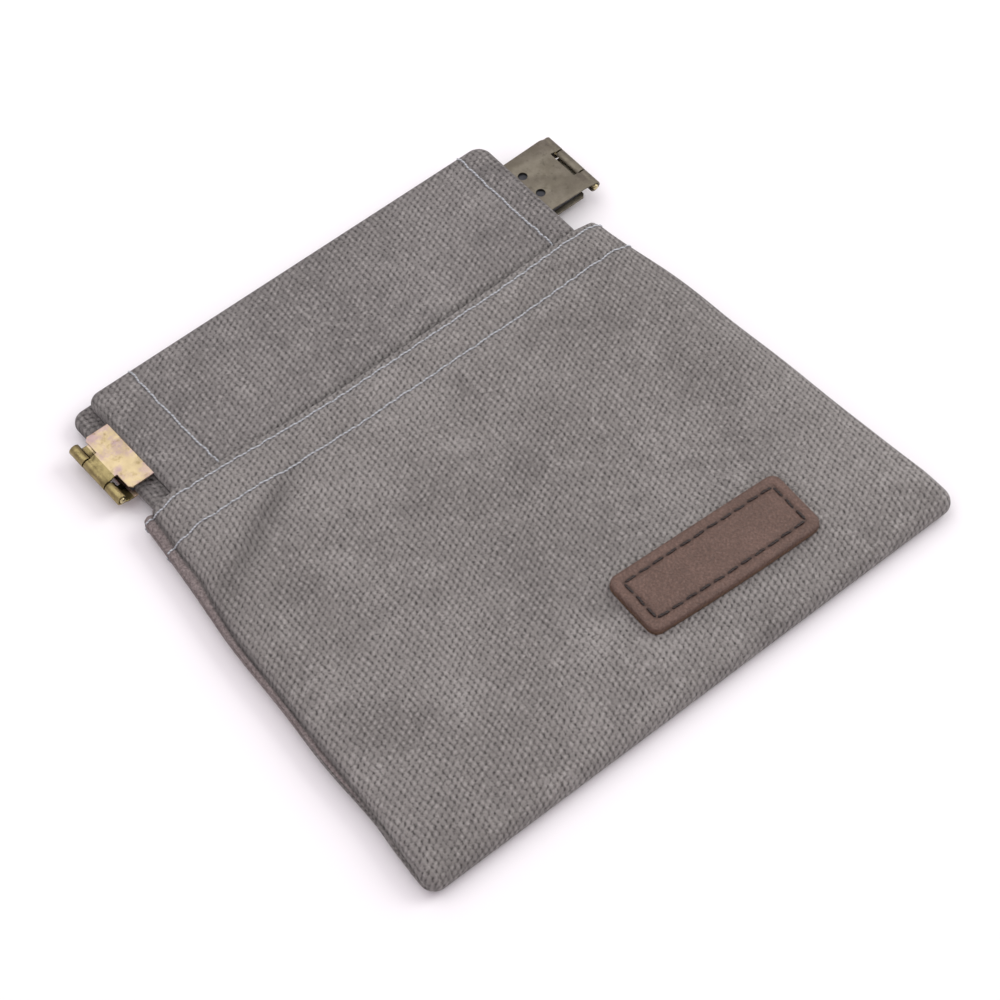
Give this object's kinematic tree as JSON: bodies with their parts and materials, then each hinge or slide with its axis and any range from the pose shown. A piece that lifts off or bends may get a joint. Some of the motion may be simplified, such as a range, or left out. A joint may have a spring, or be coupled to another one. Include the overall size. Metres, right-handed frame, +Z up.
{
  "type": "squeeze-frame treat pouch",
  "caption": "Flat canvas treat pouch with a squeeze-open spring frame, hinged at both ends of the mouth, and a blank leather patch on the front.",
  "frame": {"origin": "middle of the bounding box, on the surface the pouch lies on", "axes": "+X along the mouth, +Y from the bottom fold to the mouth, +Z up out of the front"},
  "size_m": [0.1242, 0.1204, 0.0088],
  "materials": {
    "waxed_canvas": "matt waxed plain weave",
    "casing_canvas": "matt waxed plain weave",
    "turned_canvas": "matt inner side of the canvas",
    "canvas_thread": "satin spun thread",
    "patch_thread": "satin waxed thread",
    "vegetable_leather": "smooth low sheen",
    "spring_steel": "satin",
    "hinge_pin_steel": "satin",
    "bright_brass": "polished and mottled",
    "aged_bronze": "dull aged"
  },
  "bodies": {
    "pouch_back": {"back_panel": "waxed_canvas", "bottom_fold": "waxed_canvas", "back_hem": "turned_canvas", "back_mouth_stitch": "canvas_thread"},
    "pouch_back_left": {"back_panel_left": "waxed_canvas", "back_seam_left": "turned_canvas", "back_hem_left": "turned_canvas", "back_mouth_stitch_left": "canvas_thread"},
    "pouch_back_right": {"back_panel_right": "waxed_canvas", "back_seam_right": "turned_canvas", "back_hem_right": "turned_canvas", "back_mouth_stitch_right": "canvas_thread"},
    "pouch_front": {"front_panel": "waxed_canvas", "front_hem": "turned_canvas", "front_mouth_stitch": "canvas_thread", "leather_patch": "vegetable_leather", "patch_stitch": "patch_thread"},
    "pouch_front_left": {"front_panel_left": "waxed_canvas", "front_seam_left": "turned_canvas", "front_hem_left": "turned_canvas", "front_mouth_stitch_left": "canvas_thread"},
    "pouch_front_right": {"front_panel_right": "waxed_canvas", "front_seam_right": "turned_canvas", "front_hem_right": "turned_canvas", "front_mouth_stitch_right": "canvas_thread"},
    "frame_back": {"back_casing": "casing_canvas", "back_strip": "spring_steel"},
    "frame_back_left": {"back_casing_left": "casing_canvas", "back_strip_left": "spring_steel", "back_end_stitch_left": "canvas_thread", "left_hinge_back_leaf": "bright_brass", "left_hinge_pin": "hinge_pin_steel"},
    "frame_back_right": {"back_casing_right": "casing_canvas", "back_strip_right": "spring_steel", "back_end_stitch_right": "canvas_thread", "right_hinge_back_leaf": "aged_bronze"},
    "frame_front": {"front_casing": "casing_canvas", "front_strip": "spring_steel"},
    "frame_front_left": {"front_casing_left": "casing_canvas", "front_strip_left": "spring_steel", "front_end_stitch_left": "canvas_thread", "left_hinge_front_leaf": "bright_brass"},
    "frame_front_right": {"front_casing_right": "casing_canvas", "front_strip_right": "spring_steel", "front_end_stitch_right": "canvas_thread", "right_hinge_front_leaf": "aged_bronze", "right_hinge_pin": "hinge_pin_steel"}
  },
  "joints": [
    {"name": "left_pin_hinge", "type": "hinge", "parent": "frame_back_left", "child": "frame_front_left", "pos_m": [-0.0545, 0.04595, 0.0034], "axis": [0, -1, 0], "range_deg": [0, 60], "stiffness_Nm_per_rad": 0.012, "springref_deg": -20.05},
    {"name": "bottom_fold_bend", "type": "hinge", "parent": "pouch_back", "child": "pouch_front", "pos_m": [0, -0.05685, 0.0034], "axis": [1, 0, 0], "range_deg": [0, 25.69]},
    {"name": "back_hem_bend", "type": "hinge", "parent": "pouch_back", "child": "frame_back", "pos_m": [0, 0.02975, 0.0032], "axis": [1, 0, 0], "range_deg": [0, 12.85]},
    {"name": "back_strip_bend_left", "type": "hinge", "parent": "frame_back", "child": "frame_back_left", "pos_m": [-0.016, 0.04595, 0.00325], "axis": [0, 1, 0], "range_deg": [0, 30.01]},
    {"name": "back_strip_bend_right", "type": "hinge", "parent": "frame_back", "child": "frame_back_right", "pos_m": [0.022, 0.04595, 0.00325], "axis": [0, -1, 0], "range_deg": [0, 30.01]},
    {"name": "front_strip_bend_left", "type": "hinge", "parent": "frame_front_left", "child": "frame_front", "pos_m": [-0.016, 0.04595, 0.00355], "axis": [0, 1, 0], "range_deg": [0, 30.01]},
    {"name": "front_strip_bend_right", "type": "hinge", "parent": "frame_front", "child": "frame_front_right", "pos_m": [0.022, 0.04595, 0.00355], "axis": [0, 1, 0], "range_deg": [0, 30.01]},
    {"name": "front_crease_left", "type": "hinge", "parent": "pouch_front", "child": "pouch_front_left", "pos_m": [-0.0625, -0.05685, 0.0034], "axis": [-0.473, -0.881, -0.0122], "range_deg": [0, 32.75]},
    {"name": "back_crease_left", "type": "hinge", "parent": "pouch_back", "child": "pouch_back_left", "pos_m": [-0.0625, -0.05685, 0.0034], "axis": [0.473, 0.881, -0.0122], "range_deg": [0, 32.75]},
    {"name": "front_crease_right", "type": "hinge", "parent": "pouch_front", "child": "pouch_front_right", "pos_m": [0.0625, -0.05685, 0.0034], "axis": [-0.4236, 0.9058, 0.0126], "range_deg": [0, 37.92]},
    {"name": "back_crease_right", "type": "hinge", "parent": "pouch_back", "child": "pouch_back_right", "pos_m": [0.0625, -0.05685, 0.0034], "axis": [0.4236, -0.9058, 0.0126], "range_deg": [0, 37.92]}
  ],
  "couplings": [
    {"joint": "bottom_fold_bend", "follows": "left_pin_hinge", "ratio": 0.42777},
    {"joint": "back_hem_bend", "follows": "left_pin_hinge", "ratio": 0.21388},
    {"joint": "back_strip_bend_left", "follows": "left_pin_hinge", "ratio": 0.5},
    {"joint": "back_strip_bend_right", "follows": "left_pin_hinge", "ratio": 0.5},
    {"joint": "front_strip_bend_left", "follows": "left_pin_hinge", "ratio": 0.5},
    {"joint": "front_strip_bend_right", "follows": "left_pin_hinge", "ratio": 0.5},
    {"joint": "front_crease_left", "follows": "left_pin_hinge", "ratio": 0.54548},
    {"joint": "back_crease_left", "follows": "left_pin_hinge", "ratio": 0.54548},
    {"joint": "front_crease_right", "follows": "left_pin_hinge", "ratio": 0.63167},
    {"joint": "back_crease_right", "follows": "left_pin_hinge", "ratio": 0.63167}
  ]
}
